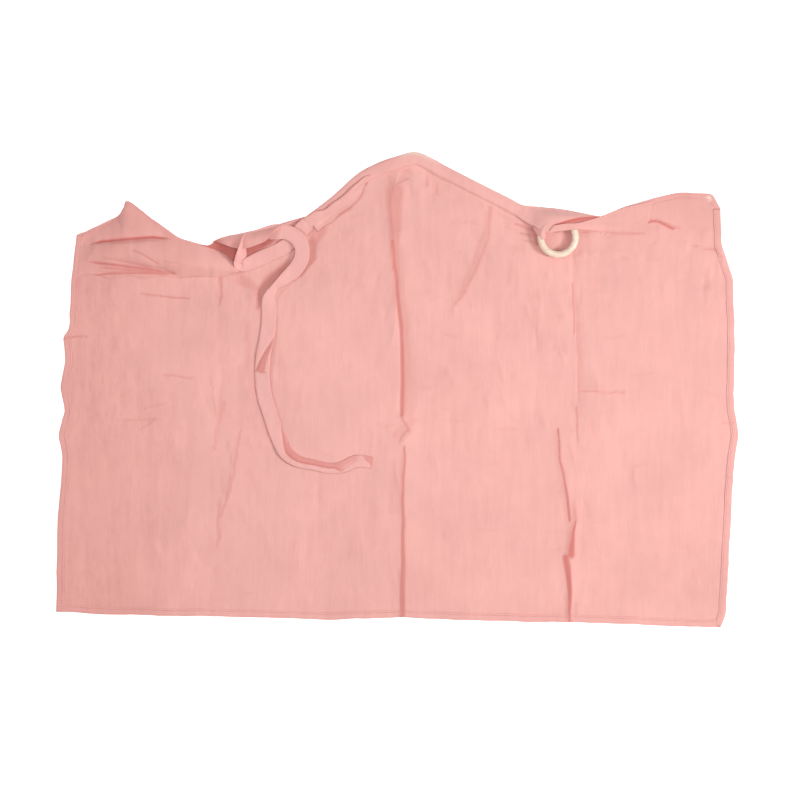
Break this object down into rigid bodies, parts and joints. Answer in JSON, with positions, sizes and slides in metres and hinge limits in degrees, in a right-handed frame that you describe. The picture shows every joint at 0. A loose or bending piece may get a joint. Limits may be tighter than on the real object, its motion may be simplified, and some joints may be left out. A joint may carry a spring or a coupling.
{
  "type": "nursing cover",
  "caption": "Hemmed muslin nursing cover laid flat, with a boned arched neckline, a wooden ring held in a cloth tab and a long neck strap.",
  "frame": {"origin": "centre of the cover's bounding rectangle, on the surface it lies on", "axes": "+X across the cover towards the ring side, +Y up the cover towards the neckline, +Z out of the cloth's front"},
  "size_m": [0.989, 0.6891, 0.0241],
  "materials": {
    "muslin": "crinkled salmon-pink cotton double muslin",
    "hem_muslin": "turned and stitched muslin, slightly darker where it is three layers thick",
    "strap_muslin": "folded and stitched muslin strap",
    "thread": "matt polyester sewing thread a shade deeper than the cloth",
    "ring_wood": "pale untreated maple, sanded smooth",
    "boning": "translucent white plastic boning"
  },
  "bodies": {
    "cover": {"cover_panel": "muslin", "left_hem": "hem_muslin", "right_hem": "hem_muslin", "bottom_hem": "hem_muslin", "top_left_hem": "hem_muslin", "top_right_hem": "hem_muslin", "neckline_casing": "muslin", "boning_strip": "boning", "boning_tip_left": "boning", "boning_tip_right": "boning", "neck_strap": "strap_muslin", "strap_bar_tack": "thread", "ring_tab_bar_tack": "thread", "left_hem_stitching": "thread", "right_hem_stitching": "thread", "bottom_hem_stitching": "thread", "top_hem_stitching": "thread", "neckline_stitching": "thread"},
    "tab": {"ring_tab": "muslin"},
    "ring": {"wooden_ring": "ring_wood"}
  },
  "joints": [
    {"name": "tab_lift", "type": "hinge", "parent": "cover", "child": "tab", "pos_m": [0.19678, 0.24466, 0.0062], "axis": [-0.5736, -0.8192, 0], "range_deg": [0, 150]},
    {"name": "ring_turn", "type": "hinge", "parent": "tab", "child": "ring", "pos_m": [0.232, 0.22, 0.009], "axis": [0, 0, 1], "continuous": true}
  ]
}
